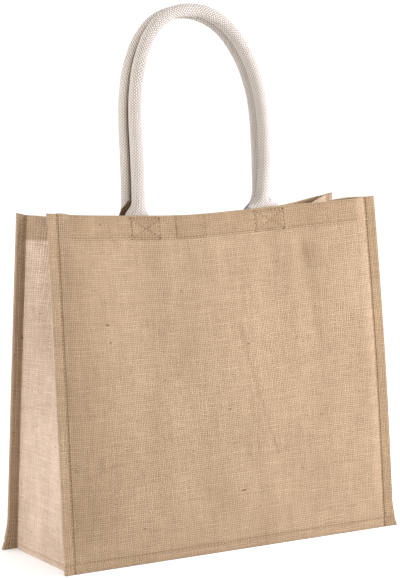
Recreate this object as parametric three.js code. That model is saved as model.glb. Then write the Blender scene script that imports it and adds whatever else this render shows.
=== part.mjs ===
// Jute tote bag that stands open on its base, with two padded handles held up one behind the other.
// Millimetres, +Z up, the bag's front faces -Y, the floor is z = 0.

import * as THREE from 'three';

// Driving dimensions of the bag, measured over its outward seams
const width = 420;
const depth = 135;
const height = 370;
const halfWidth = width / 2;
const halfDepth = depth / 2;

// Cloth, sewing gap and seam allowances
const cloth = 1.5;
const gap = 0.3;
const seam = 11;
const hem = 25;
const hemEnd = halfWidth - seam - 14;
const baseDrop = 9.5;

// How each panel stands: top edge pulled in from the foot, and how high its top edge is
const front = {
  leanLeft: 38.6, leanRight: 40.2, pull: 22, belly: 2.5,
  topLeft: 371, topRight: 371, topMiddle: 359, sagAt: -20, edgeLeft: 1.6, edgeRight: 1.4,
};
const back = {
  leanLeft: 25.5, leanRight: 11.3, pull: 16, belly: 3,
  topLeft: 366.3, topRight: 369, topMiddle: 355, sagAt: 0, edgeLeft: 5, edgeRight: 2.7,
};
const pullFlat = 75;
const narrowing = 3;
const sideBow = 2.2;
const wallBand = 10;
const bulgeSpan = 1.2;

// Seam corners that spread where they meet the floor
const splays = [
  { side: 1, face: -1, reach: 5, rise: 30 },
  { side: -1, face: 1, reach: 6, rise: 40 },
];

// Side gussets: folded in at the mouth, with a rolled lip at the floor
const fold = { depth: 48, power: 1.8, roundness: 1.15, dip: 9, dipPower: 4, steps: 12 };
const lip = { reach: 2, rise: 9, roundness: 0.3 };
const sharpestTurn = 0.6;

// Base panel, from its turned-down rim in to the middle that lies on the floor
const baseRings = [
  { inset: 0, top: 0, underInset: 1.5, under: 0 },
  { inset: 0, top: baseDrop - 0.9, underInset: 1.5, under: 7.6 },
  { inset: 0.9, top: baseDrop, underInset: 2.1, under: 8 },
  { inset: 6, top: 9.2, underInset: 6, under: 7.7 },
  { inset: 18, top: 6.8, underInset: 18, under: 5.3 },
  { inset: 32, top: 3.2, underInset: 32, under: 1.7 },
  { inset: 44, top: cloth, underInset: 44, under: 0 },
  { inset: 56, top: cloth, underInset: 56, under: 0 },
];
const baseCorner = { radius: 7, least: 1.5, steps: 5, longSteps: 10, shortSteps: 4 };

// Handle webbing, rolled round a cord above the mouth and sewn flat inside the hem
const webbing = { width: 38, thick: 1.8, seamGap: 0.8, steps: 10 };
const curl = { flat: 0.03, closed: 0.8 };
const free = { from: 2, to: 16 };
const legBlend = 60;
const core = { radius: 4.4, sides: 8, tip: 1 };
const footRises = [-22, -16, -10, -6, -3, 0, 3, 6, 9, 13, 17, 22, 30, 50];
const archSteps = 30;
const handles = {
  front: { face: -1, legs: [-81, 82.5], archFoot: 448, top: 578, bend: 2.2, lean: 27 },
  rear: { face: 1, legs: [-84.5, 87], archFoot: 446, top: 575.5, bend: 2.2, lean: 24 },
};

// Where each foot is sewn, and how far below and above the mouth its webbing rolls up
handles.front.feet = [
  { x: -82, below: 12, above: 16 },
  { x: 78.5, below: 3, above: 14 },
];
handles.rear.feet = [
  { x: -85.5, below: 14, above: 22 },
  { x: 88.5, below: 4, above: 26 },
];

// Grid lines shared by the pieces, so that neighbours bend at the same places
const levels = [0, 10, 20, 30, 40, 75, 115, 160, 205, 250, 290, 325, 344.5, 346, 358, 370];
const halfColumns = [0, 20, 40, 60, 80, 100, 120, 140, 160, hemEnd - 1, hemEnd + 1, 199, 204.5, 210];
const columns = [...halfColumns.slice(1).reverse().map((x) => -x), ...halfColumns];

const mix = THREE.MathUtils.lerp;
const smooth = (value, low, high) => THREE.MathUtils.smoothstep(value, low, high);

// The lean of a panel's top edge at x: its two corners, and the middle that the handles pull in
function leanAt(panel, x) {
  const corner = mix(panel.leanLeft, panel.leanRight, (x + halfWidth) / width);
  return corner + panel.pull * (1 - smooth(Math.abs(x), pullFlat, halfWidth));
}

// The height of a panel's top edge at x, peaked at the corners and lowest where it sags
function topAt(panel, x) {
  const left = x < panel.sagAt;
  const side = left ? panel.edgeLeft : panel.edgeRight;
  const corner = left ? panel.topLeft : panel.topRight;
  const reach = halfWidth + (left ? panel.sagAt : -panel.sagAt);
  return panel.topMiddle + (corner - panel.topMiddle) * Math.abs((x - panel.sagAt) / reach) ** side;
}

// Takes a point of the square, upright bag to where it is on the standing bag
function stand(x, y, z) {
  const rise = z / height;
  const bulge = Math.sin(Math.PI * rise) * Math.cos((Math.PI * x) / width / bulgeSpan);
  const shiftFront = leanAt(front, x) * rise - front.belly * bulge;
  const shiftBack = -leanAt(back, x) * rise + back.belly * bulge;
  const across = smooth(y, wallBand - halfDepth, halfDepth - wallBand);
  const bow = Math.max(0, x / halfWidth) * sideBow * Math.sin(Math.PI * rise);
  let standX = x * (1 - (narrowing / halfWidth) * rise) + bow;
  for (const splay of splays) {
    if (Math.sign(x) === splay.side && Math.sign(y) === splay.face && z < splay.rise) {
      const edge = smooth(Math.abs(x), halfWidth - seam, halfWidth);
      standX += splay.side * splay.reach * edge * (1 - z / splay.rise) ** 2;
    }
  }
  const top = mix(topAt(front, x), topAt(back, x), across);
  return new THREE.Vector3(standX, y + mix(shiftFront, shiftBack, across), (z * top) / height);
}

// A closed solid from a grid of outer points and the same grid of inner points
function solidSheet(outer, inner) {
  const rows = outer.length;
  const count = outer[0].length;
  const points = [...outer.flat(), ...inner.flat()];
  const at = (row, column, side) => side * rows * count + row * count + column;
  const faces = [];
  const quad = (a, b, c, d) => faces.push(a, b, c, a, c, d);
  for (let row = 0; row < rows - 1; row += 1) {
    for (let column = 0; column < count - 1; column += 1) {
      quad(at(row, column, 0), at(row, column + 1, 0), at(row + 1, column + 1, 0), at(row + 1, column, 0));
      quad(at(row, column, 1), at(row + 1, column, 1), at(row + 1, column + 1, 1), at(row, column + 1, 1));
    }
  }
  for (let column = 0; column < count - 1; column += 1) {
    const last = rows - 1;
    quad(at(0, column, 1), at(0, column + 1, 1), at(0, column + 1, 0), at(0, column, 0));
    quad(at(last, column, 0), at(last, column + 1, 0), at(last, column + 1, 1), at(last, column, 1));
  }
  for (let row = 0; row < rows - 1; row += 1) {
    const last = count - 1;
    quad(at(row, 0, 0), at(row + 1, 0, 0), at(row + 1, 0, 1), at(row, 0, 1));
    quad(at(row, last, 1), at(row + 1, last, 1), at(row + 1, last, 0), at(row, last, 0));
  }
  return bodyFrom(points, faces);
}

// A geometry from points and triangles, turned inside out if its volume is negative
function bodyFrom(points, faces) {
  let volume = 0;
  for (let i = 0; i < faces.length; i += 3) {
    const [a, b, c] = [points[faces[i]], points[faces[i + 1]], points[faces[i + 2]]];
    volume += a.dot(b.clone().cross(c)) / 6;
  }
  const order = volume > 0 ? faces : faces.slice().reverse();
  const geometry = new THREE.BufferGeometry();
  const flat = points.flatMap((point) => point.toArray());
  geometry.setAttribute('position', new THREE.Float32BufferAttribute(flat, 3));
  geometry.setIndex(order);
  geometry.computeVertexNormals();
  return geometry;
}

// Front or back panel: one sheet with its top edge hemmed double on the inside
function panelSheet(face) {
  const outerY = face * halfDepth;
  const thickAt = (x, z) => cloth + (z > height - hem && Math.abs(x) < hemEnd ? cloth : 0);
  const outer = levels.map((z) => columns.map((x) => stand(x, outerY, z)));
  const inner = levels.map((z) => columns.map((x) => stand(x, outerY - face * thickAt(x, z), z)));
  return solidSheet(outer, inner);
}

// The outside line of a gusset at one level, from its front seam edge round to its back seam edge
function gussetLine(side, z) {
  const rise = z / height;
  const wallY = halfDepth - 2 * cloth - gap;
  const wallX = halfWidth - seam;
  const inward = fold.depth * rise ** fold.power;
  const outward = lip.reach * Math.max(0, 1 - z / lip.rise);
  const line = [];
  for (const x of [halfWidth, halfWidth - seam / 2, wallX + 1]) {
    line.push(stand(side * x, -wallY, z));
  }
  for (let step = 0; step <= fold.steps; step += 1) {
    const along = step / fold.steps;
    const y = mix(1 - wallY, wallY - 1, along);
    const bow = Math.sin(Math.PI * along);
    const point = stand(side * wallX, y, z);
    point.x += side * (outward * bow ** lip.roundness - inward * bow ** fold.roundness);
    point.z -= fold.dip * bow ** 2 * rise ** fold.dipPower;
    line.push(point);
  }
  for (const x of [wallX + 1, halfWidth - seam / 2, halfWidth]) {
    line.push(stand(side * x, wallY, z));
  }
  return line;
}

// The same line moved sideways in plan, towards the bag's inside
function offsetLine(line, side, amounts) {
  return line.map((point, index) => {
    const before = line[Math.max(0, index - 1)];
    const after = line[Math.min(line.length - 1, index + 1)];
    const first = new THREE.Vector2(point.x - before.x, point.y - before.y);
    const second = new THREE.Vector2(after.x - point.x, after.y - point.y);
    if (first.length() < 1e-6) first.copy(second);
    if (second.length() < 1e-6) second.copy(first);
    const normalA = new THREE.Vector2(first.y, -first.x).normalize();
    const normalB = new THREE.Vector2(second.y, -second.x).normalize();
    const normal = normalA.clone().add(normalB).normalize();
    const reach = (amounts[index] / Math.max(sharpestTurn, normal.dot(normalA))) * -side;
    return new THREE.Vector3(point.x + normal.x * reach, point.y + normal.y * reach, point.z);
  });
}

// A side gusset: its hem is double, but not where the seams clamp it
function gussetSheet(side) {
  const seamPoints = 5;
  const lines = levels.map((z) => gussetLine(side, z));
  const inner = lines.map((line, row) => {
    const hemmed = levels[row] > height - hem;
    const amounts = line.map((point, index) => {
      const inHem = hemmed && index > seamPoints && index < line.length - 1 - seamPoints;
      return inHem ? 2 * cloth : cloth;
    });
    return offsetLine(line, side, amounts);
  });
  return solidSheet(lines, inner);
}

// One loop of the base: a rectangle with rounded corners, drawn in from the walls
function baseLoop(inset, z) {
  const halfX = halfWidth - seam - cloth - gap - inset;
  const halfY = halfDepth - cloth - gap - inset;
  const radius = Math.max(baseCorner.least, baseCorner.radius - inset);
  const quarter = baseCorner.steps;
  const loop = [];
  const corners = [[1, 1, 0], [-1, 1, 1], [-1, -1, 2], [1, -1, 3]];
  for (const [signX, signY, turn] of corners) {
    for (let step = 0; step <= quarter; step += 1) {
      const angle = (turn + step / quarter) * (Math.PI / 2);
      const x = signX * (halfX - radius) + radius * Math.cos(angle);
      const y = signY * (halfY - radius) + radius * Math.sin(angle);
      loop.push([x, y]);
    }
    const [nextX, nextY] = corners[(turn + 1) % 4];
    const from = loop[loop.length - 1];
    const to = turn % 2 ? [from[0], nextY * (halfY - radius)] : [nextX * (halfX - radius), from[1]];
    const pieces = turn % 2 ? baseCorner.shortSteps : baseCorner.longSteps;
    for (let step = 1; step < pieces; step += 1) {
      loop.push([mix(from[0], to[0], step / pieces), mix(from[1], to[1], step / pieces)]);
    }
  }
  return loop.map(([x, y]) => stand(x, y, z));
}

// Base panel: its edge is turned down behind the walls, and its middle sags to lie on the floor
function baseSheet() {
  const top = baseRings.map((ring) => baseLoop(ring.inset, ring.top));
  const bottom = baseRings.map((ring) => baseLoop(ring.underInset, ring.under));
  const count = top[0].length;
  const points = [...top.flat(), ...bottom.flat()];
  const start = (side, ring) => (side * top.length + ring) * count;
  const faces = [];
  const strip = (from, to) => {
    for (let step = 0; step < count; step += 1) {
      const next = (step + 1) % count;
      faces.push(from + step, from + next, to + next, from + step, to + next, to + step);
    }
  };
  for (let ring = 0; ring < top.length - 1; ring += 1) {
    strip(start(0, ring), start(0, ring + 1));
    strip(start(1, ring + 1), start(1, ring));
  }
  strip(start(1, 0), start(0, 0));
  const last = top.length - 1;
  for (let step = 1; step < count - 1; step += 1) {
    faces.push(start(0, last), start(0, last) + step, start(0, last) + step + 1);
    faces.push(start(1, last), start(1, last) + step + 1, start(1, last) + step);
  }
  return bodyFrom(points, faces);
}

// How far back a handle leans at a height above the mouth
function leanAbove(handle, above) {
  return handle.lean * (above / (handle.top - height)) ** 2;
}

// The spine of a handle: the middle line of its webbing, from one sewn foot over the arch to the other.
// Each station also says where the webbing lies across the spine, on the hem's face or free above it.
function handleSpine(handle) {
  const faceY = handle.face * (halfDepth - 2 * cloth - gap - webbing.thick / 2);
  const legFoot = (side) => {
    const foot = handle.feet[side];
    return footRises.map((rise) => {
      const above = Math.max(0, rise);
      const onHem = (reach) => {
        const point = stand(foot.x + reach, faceY, height + Math.min(0, rise));
        return point.add(new THREE.Vector3(0, leanAbove(handle, above), above));
      };
      const point = onHem(0);
      point.x = mix(point.x, handle.legs[side], smooth(rise, 0, legBlend));
      const roll = smooth(rise, -foot.below, foot.above);
      return { point, onHem, free: smooth(rise, free.from, free.to), roll };
    });
  };
  const left = legFoot(0);
  const right = legFoot(1).reverse();
  const mouths = handle.feet.map((foot) => stand(foot.x, faceY, height));
  const arch = [];
  const middle = (handle.legs[0] + handle.legs[1]) / 2;
  const half = (handle.legs[1] - handle.legs[0]) / 2;
  const power = 2 / handle.bend;
  for (let step = 0; step <= archSteps; step += 1) {
    const angle = Math.PI * (1 - step / archSteps);
    const x = middle + Math.sign(Math.cos(angle)) * half * Math.abs(Math.cos(angle)) ** power;
    const z = handle.archFoot + (handle.top - handle.archFoot) * Math.sin(angle) ** power;
    const mouth = mouths[0].clone().lerp(mouths[1], (x - handle.legs[0]) / (2 * half));
    const y = mouth.y + leanAbove(handle, z - mouth.z);
    arch.push({ point: new THREE.Vector3(x, y, z), free: 1, roll: 1 });
  }
  return [...left, ...arch, ...right];
}

// The directions of a spine at one station: along it, towards its rolled side, and across it
function spineFrame(stations, index, face) {
  const before = stations[Math.max(0, index - 1)].point;
  const after = stations[Math.min(stations.length - 1, index + 1)].point;
  const along = after.clone().sub(before).normalize();
  const inward = new THREE.Vector3(0, -face, 0);
  inward.addScaledVector(along, -inward.dot(along)).normalize();
  const across = along.clone().cross(inward).normalize();
  return { inward, across };
}

// Webbing of a handle: a flat strip at each foot that rolls up into a round tube above the mouth
function handleWebbing(handle) {
  const stations = handleSpine(handle);
  const closed = 2 * Math.PI - (webbing.seamGap * 2 * Math.PI) / webbing.width;
  const skin = (side) => stations.map((station, index) => {
    const { inward, across } = spineFrame(stations, index, handle.face);
    const turn = Math.max(curl.flat, closed * station.roll);
    const radius = webbing.width / turn;
    const line = [];
    for (let step = 0; step <= webbing.steps; step += 1) {
      const angle = turn * (step / webbing.steps - 0.5);
      const reach = (radius + (side * webbing.thick) / 2) * Math.sin(angle);
      const lift = radius - (radius + (side * webbing.thick) / 2) * Math.cos(angle);
      const point = station.point.clone().addScaledVector(across, reach);
      if (station.onHem) {
        point.lerp(station.onHem(reach * Math.sign(across.x)), 1 - station.free);
      }
      line.push(point.addScaledVector(inward, lift));
    }
    return line;
  });
  return solidSheet(skin(1), skin(-1));
}

// Cord inside a handle: it fills the rolled webbing and ends where the webbing opens at each foot
function handleCore(handle) {
  const closed = handleSpine(handle);
  const radius = webbing.width / (2 * Math.PI);
  const stations = [];
  closed.forEach((station, index) => {
    if (station.roll < curl.closed) return;
    const { inward, across } = spineFrame(closed, index, handle.face);
    stations.push({ centre: station.point.clone().addScaledVector(inward, radius), inward, across });
  });
  const points = [];
  stations.forEach(({ centre, inward, across }, index) => {
    const end = index === 0 || index === stations.length - 1;
    const size = end ? core.radius - core.tip : core.radius;
    for (let side = 0; side < core.sides; side += 1) {
      const angle = (2 * Math.PI * side) / core.sides;
      const point = centre.clone().addScaledVector(across, size * Math.cos(angle));
      points.push(point.addScaledVector(inward, size * Math.sin(angle)));
    }
  });
  const faces = [];
  for (let ring = 0; ring < stations.length - 1; ring += 1) {
    for (let side = 0; side < core.sides; side += 1) {
      const a = ring * core.sides + side;
      const b = ring * core.sides + ((side + 1) % core.sides);
      faces.push(a, b, b + core.sides, a, b + core.sides, a + core.sides);
    }
  }
  const last = (stations.length - 1) * core.sides;
  for (let side = 1; side < core.sides - 1; side += 1) {
    faces.push(0, side + 1, side);
    faces.push(last, last + side, last + side + 1);
  }
  return bodyFrom(points, faces);
}

// Materials
const jute = { color: 0xc9aa84, roughness: 0.9, metalness: 0 };
const cotton = { color: 0xdcd2c5, roughness: 0.85, metalness: 0 };
const rope = { color: 0x6e5536, roughness: 0.95, metalness: 0 };

function piece(name, geometry, finish) {
  const mesh = new THREE.Mesh(geometry, new THREE.MeshStandardMaterial(finish));
  mesh.name = name;
  return mesh;
}

const tote = new THREE.Group();
tote.name = 'jute_tote_bag';
tote.add(
  piece('front_panel', panelSheet(-1), jute),
  piece('back_panel', panelSheet(1), jute),
  piece('left_gusset', gussetSheet(-1), jute),
  piece('right_gusset', gussetSheet(1), jute),
  piece('base_panel', baseSheet(), jute),
  piece('front_handle', handleWebbing(handles.front), cotton),
  piece('rear_handle', handleWebbing(handles.rear), cotton),
  piece('front_handle_core', handleCore(handles.front), rope),
  piece('rear_handle_core', handleCore(handles.rear), rope),
);

export default tote;
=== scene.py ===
# Jute tote bag that stands open on its base, with two padded handles held up one behind the other.
# The pieces are shaped in millimetres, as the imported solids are, and made in metres.

import math

import bpy
import numpy as np
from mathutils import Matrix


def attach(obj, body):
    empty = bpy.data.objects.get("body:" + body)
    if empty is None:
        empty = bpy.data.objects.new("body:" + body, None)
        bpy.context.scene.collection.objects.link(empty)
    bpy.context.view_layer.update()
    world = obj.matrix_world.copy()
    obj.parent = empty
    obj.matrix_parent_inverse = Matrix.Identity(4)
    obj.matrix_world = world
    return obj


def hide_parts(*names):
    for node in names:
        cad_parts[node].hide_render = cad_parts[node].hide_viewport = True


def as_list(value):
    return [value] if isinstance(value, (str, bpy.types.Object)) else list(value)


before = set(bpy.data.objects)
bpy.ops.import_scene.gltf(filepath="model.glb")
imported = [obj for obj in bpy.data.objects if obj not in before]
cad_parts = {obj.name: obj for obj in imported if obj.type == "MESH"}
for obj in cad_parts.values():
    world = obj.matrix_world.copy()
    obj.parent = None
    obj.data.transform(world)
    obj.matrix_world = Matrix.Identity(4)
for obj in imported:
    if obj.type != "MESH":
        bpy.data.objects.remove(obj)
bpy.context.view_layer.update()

# Sizes shared with the solids
WIDTH, DEPTH, HEIGHT = 420.0, 135.0, 370.0
HALF_WIDTH, HALF_DEPTH = WIDTH / 2, DEPTH / 2
CLOTH, GAP, SEAM, HEM, HEM_CLEAR = 1.5, 0.3, 11.0, 25.0, 14
HEM_END = HALF_WIDTH - SEAM - HEM_CLEAR
FRONT = dict(lean_left=38.6, lean_right=40.2, pull=22, top_left=371, top_right=371,
             top_middle=359, sag_at=-20, edge_left=1.6, edge_right=1.4, belly=2.5)
BACK = dict(lean_left=25.5, lean_right=11.3, pull=16, top_left=366.3, top_right=369,
            top_middle=355, sag_at=0, edge_left=5, edge_right=2.7, belly=3)
PULL_FLAT, NARROWING, SIDE_BOW, WALL_BAND, BULGE_SPAN = 75, 3, 2.2, 10, 1.2
SPLAYS = [dict(side=1, face=-1, reach=5, rise=30), dict(side=-1, face=1, reach=6, rise=40)]
FOLD = dict(depth=48, power=1.8, roundness=1.15, dip=9, dip_power=4)
LIP = dict(reach=2, rise=9, roundness=0.3)
BASE_CORNER = dict(radius=7, least=1.5)
BASE_RINGS = [  # inset, top, inset below, underside
    (0, 0, 1.5, 0), (0, 8.6, 1.5, 7.6), (0.9, 9.5, 2.1, 8), (6, 9.2, 6, 7.7),
    (18, 6.8, 18, 5.3), (32, 3.2, 32, 1.7), (44, 1.5, 44, 0), (56, 1.5, 56, 0)]
WEBBING = dict(width=38, thick=1.8, seam_gap=0.8)
# How far even an open strap curls, and over which rises it comes free of the hem and reaches its leg
LEAST_CURL, FREE, LEG_BLEND = 0.03, (2, 16), 60
CORE_RADIUS = 4.4
HANDLES = {
    "front": dict(face=-1, legs=(-81, 82.5), arch_foot=448, top=578, bend=2.2, lean=27,
                  feet=[dict(x=-82, below=12, above=16), dict(x=78.5, below=3, above=14)]),
    "rear": dict(face=1, legs=(-84.5, 87), arch_foot=446, top=575.5, bend=2.2, lean=24,
                 feet=[dict(x=-85.5, below=14, above=22), dict(x=88.5, below=4, above=26)]),
}

# Thread lines on the cloth's faces, with the groove, bead and painted shade line of each: height or share,
# width
SEAM_LINE = HALF_WIDTH - SEAM
SEAM_SHIFT = 2.0
BOTTOM_LINE = 9.0
HEM_LINE = HEIGHT - HEM
BOX = dict(half=18, low=345.2, high=366.5)
HEM_CREASES = (-41, -6)  # two upright thread lines on the front's hem
GROOVES = dict(side=(1.0, 1.4), bottom=(0.8, 1.3), hem=(0.8, 1.2), box=(0.9, 1.1))
BEADS = dict(side=(0.5, 1.8), bottom=(0.35, 1.7))
BEAD_INSET = 2.2
BOTTOM_SWELL = dict(height=0.6, rise=(BOTTOM_LINE + 0.5, BOTTOM_LINE + 4),
                    fall=(BOTTOM_LINE + 4, BOTTOM_LINE + 20))
HEM_SWELL = dict(height=0.5, rise=(HEM_LINE + 0.5, HEM_LINE + 5))
BOX_SWELL = dict(height=0.6, rise=(BOX["low"] - 4, BOX["low"] + 1))
# Painted shade along the sewn lines and creases, then painted shade on the right flange, below the bottom
# seam and on the hem band
PAINTED_SHADE_LINES = dict(side=(0.5, 1.0), bottom=(0.25, 1.2), hem=(0.2, 1.2), box=(0.5, 1.1),
                  crease=(0.3, 1.2), between_creases=(0.25, 1.2))
PAINTED_SHADE = dict(right_flange=0.2, below_bottom=0.08, hem=0.14, most=0.7)
# Painted shade on the gussets: along their thread lines, on the hem band and down the rear flange
GUSSET_PAINTED_SHADE_LINES = dict(hem=(0.12, 1.3), foot=(0.2, 1.2), seam=(0.2, 0.012), flange=(0.15, 0.006))
GUSSET_PAINTED_SHADE = dict(hem=0.36, rear_flange=0.32, most=0.5)

# Folds of the cloth
RIPPLE = dict(height=0.9, clear=14, fade=40, foot=(4, 60), waves=9)
FRONT_SEED, BACK_SEED = 11, 23
PULLS = ((24, 11, 0.8), (-4, 13, -0.7), (-27, 9, 0.5))  # at each handle's foot: place, width, height
PULL_RISE, PULL_FALL, PULL_LOSS = (190, 338), (338, 352), 0.6
PUFF = dict(height=2.4, rise=(0.3, 15), fall=(18, 85), foot=(10, 60))  # along the side seams
# The front's main creases, each a soft trough from start to end (x, z), with painted shade (dark) along it
FRONT_CREASES = (
    dict(start=(27, 243), end=(43, 168), width=1.7, depth=0.4, dark=0.15),
    dict(start=(43, 168), end=(62, 100), width=1.7, depth=0.4, dark=0.15),
    dict(start=(109, 345), end=(118, 315), width=8, depth=0.8, dark=0.1),
    dict(start=(118, 315), end=(127, 221), width=6, depth=0.7, dark=0.09),
    dict(start=(-178, 300), end=(-172, 60), width=30, depth=0.6, dark=0.11),
)
GUSSET_RIPPLE = dict(height=0.8, seed=61, span=128, lengths=(50, 170), foot=(6, 40))
BASE_RIPPLE = dict(height=0.35, seed=71, above=(2.2, 5))

# The rear cord's left end, spread out flat where the open webbing shows a dark wedge, its colour painted
# shade; the half widths are given at these rises
CORD_FAN = dict(along=(-3, 30), starts=22, blend=3, lift=14.2, half_thick=1.6,
                half_width=((-3, 5, 9, 13, 19, 22), (17.5, 16, 14, 12, 5, 2)))

# Threads, stitches and loose fibres
THREAD = 2.15
WEAVE = dict(drift=(0.35, 0.06), wander=0.88, uneven=(0.83, 0.13), half_width=(0.36, 0.62),
             crossing=0.34, height=0.75)
STITCH = dict(length=3.3, pitch=4.1, radius=0.42, flatness=0.8, lift=0.55, arch=1.3, sides=6)
STITCH_RINGS = [(-0.5, 0.25), (-0.36, 0.85), (0.0, 1.0), (0.36, 0.85), (0.5, 0.25)]  # place, size
FIBRE = dict(thick=0.11, taper=0.75, reach=(0.35, 1.0), rise=(0.1, 0.55), bend=0.5, sunk=0.15,
             turn=0.6 * math.pi, places=(0.0, 0.35, 0.7, 1.0), angles=(0, 2.1, 4.2))


def smooth(value, low, high):
    t = np.clip((value - low) / (high - low), 0, 1)
    return t * t * (3 - 2 * t)


def mix(a, b, t):
    return a + (b - a) * t


# Where a point of the square, upright bag is on the standing bag
def lean_at(panel, x):
    corner = mix(panel["lean_left"], panel["lean_right"], (x + HALF_WIDTH) / WIDTH)
    return corner + panel["pull"] * (1 - smooth(np.abs(x), PULL_FLAT, HALF_WIDTH))


def top_at(panel, x):
    left = x < panel["sag_at"]
    side = np.where(left, panel["edge_left"], panel["edge_right"])
    corner = np.where(left, panel["top_left"], panel["top_right"])
    reach = HALF_WIDTH + np.where(left, panel["sag_at"], -panel["sag_at"])
    share = np.abs((x - panel["sag_at"]) / reach) ** side
    return panel["top_middle"] + (corner - panel["top_middle"]) * share


def stand(x, y, z):
    x, y, z = np.broadcast_arrays(*(np.asarray(value, float) for value in (x, y, z)))
    rise = z / HEIGHT
    bulge = np.sin(np.pi * np.clip(rise, 0, 1)) * np.cos(np.pi * x / WIDTH / BULGE_SPAN)
    shift_front = lean_at(FRONT, x) * rise - FRONT["belly"] * bulge
    shift_back = -lean_at(BACK, x) * rise + BACK["belly"] * bulge
    across = smooth(y, WALL_BAND - HALF_DEPTH, HALF_DEPTH - WALL_BAND)
    bow = np.maximum(0, x / HALF_WIDTH) * SIDE_BOW * np.sin(np.pi * rise)
    stand_x = x * (1 - NARROWING / HALF_WIDTH * rise) + bow
    for splay in SPLAYS:
        there = (np.sign(x) == splay["side"]) & (np.sign(y) == splay["face"]) & (z < splay["rise"])
        edge = smooth(np.abs(x), HALF_WIDTH - SEAM, HALF_WIDTH)
        stand_x = stand_x + there * splay["side"] * splay["reach"] * edge * (1 - z / splay["rise"]) ** 2
    top = mix(top_at(FRONT, x), top_at(BACK, x), across)
    return np.stack([stand_x, y + mix(shift_front, shift_back, across), z * top / HEIGHT], -1)


# A slow unevenness between about -1 and 1, the same each time for one seed
def ripple(x, z, seed, shortest=70, longest=260):
    dice = np.random.default_rng(seed)
    total = 0
    for _ in range(RIPPLE["waves"]):
        turn = dice.uniform(0, np.pi)
        length = dice.uniform(shortest, longest)
        phase = dice.uniform(0, 2 * np.pi)
        total = total + np.sin(2 * np.pi * (x * np.cos(turn) + z * np.sin(turn)) / length + phase)
    return total / math.sqrt(RIPPLE["waves"])


def ridge(distance, width):
    return np.exp(-((distance / width) ** 2))


def line(table, kind, distance):
    height, width = table[kind]
    return height * ridge(distance, width)


def line_distance(x, z, start, end):
    (ax, az), (bx, bz) = start, end
    length = (bx - ax) ** 2 + (bz - az) ** 2
    t = np.clip(((x - ax) * (bx - ax) + (z - az) * (bz - az)) / length, 0, 1)
    return np.hypot(x - mix(ax, bx, t), z - mix(az, bz, t))


def feet_of(face):
    return [foot["x"] for foot in HANDLES["front" if face < 0 else "rear"]["feet"]]


# The sewn box with its crossing lines, over one foot of a handle
def box_lines(foot):
    left, right, low, high = foot - BOX["half"], foot + BOX["half"], BOX["low"], BOX["high"]
    corners = [(left, low), (right, low), (right, high), (left, high)]
    sides = [(corners[i], corners[(i + 1) % 4]) for i in range(4)]
    return sides + [(corners[0], corners[2]), (corners[1], corners[3])]


def crease_lines(face, x, z, column):
    """The front's creases: one column of their table, falling off beside each line."""
    for crease in FRONT_CREASES if face < 0 else ():
        yield crease[column] * ridge(line_distance(x, z, crease["start"], crease["end"]), crease["width"])


# How far a panel's cloth stands out from its even sheet: first its folds, then its sewing
def panel_folds(face, x, z):
    inside = smooth(HALF_WIDTH - RIPPLE["clear"] - np.abs(x), 0, RIPPLE["fade"])
    waves = RIPPLE["height"] * ripple(x, z, FRONT_SEED if face < 0 else BACK_SEED)
    soft = waves * inside * smooth(z, *RIPPLE["foot"])
    for foot in feet_of(face):
        reach = smooth(z, *PULL_RISE) * (1 - PULL_LOSS * smooth(z, *PULL_FALL))
        for place, width, height in PULLS:
            soft = soft + height * ridge(x - foot - place, width) * reach
    for trough in crease_lines(face, x, z, "depth"):
        soft = soft - trough
    from_seam = SEAM_LINE - np.abs(x)
    puff = PUFF["height"] * smooth(from_seam, *PUFF["rise"]) * (1 - smooth(from_seam, *PUFF["fall"]))
    return soft + puff * smooth(z, *PUFF["foot"])


def seam_of(x):
    """How far from the middle the side seam's thread runs: on the right side a little further in."""
    return SEAM_LINE - SEAM_SHIFT * (np.asarray(x) > 0)


def panel_sewing(face, x, z):
    bead = line(BEADS, "side", np.abs(x) - HALF_WIDTH + BEAD_INSET)
    sewn = -line(GROOVES, "side", np.abs(x) - seam_of(x)) + bead
    sewn = sewn - line(GROOVES, "bottom", z - BOTTOM_LINE) + line(BEADS, "bottom", z - BEAD_INSET)
    swell = BOTTOM_SWELL["height"] * smooth(z, *BOTTOM_SWELL["rise"])
    sewn = sewn + swell * (1 - smooth(z, *BOTTOM_SWELL["fall"]))
    hem = smooth(HEM_END - np.abs(x), -3, 3)
    swell = HEM_SWELL["height"] * smooth(z, *HEM_SWELL["rise"])
    sewn = sewn + hem * (-line(GROOVES, "hem", z - HEM_LINE) + swell)
    for foot in feet_of(face):
        inside = smooth(BOX["half"] - np.abs(x - foot), -4, 2)
        sewn = sewn + BOX_SWELL["height"] * inside * smooth(z, *BOX_SWELL["rise"])
        for start, end in box_lines(foot):
            sewn = sewn - line(GROOVES, "box", line_distance(x, z, start, end))
    return sewn


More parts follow.
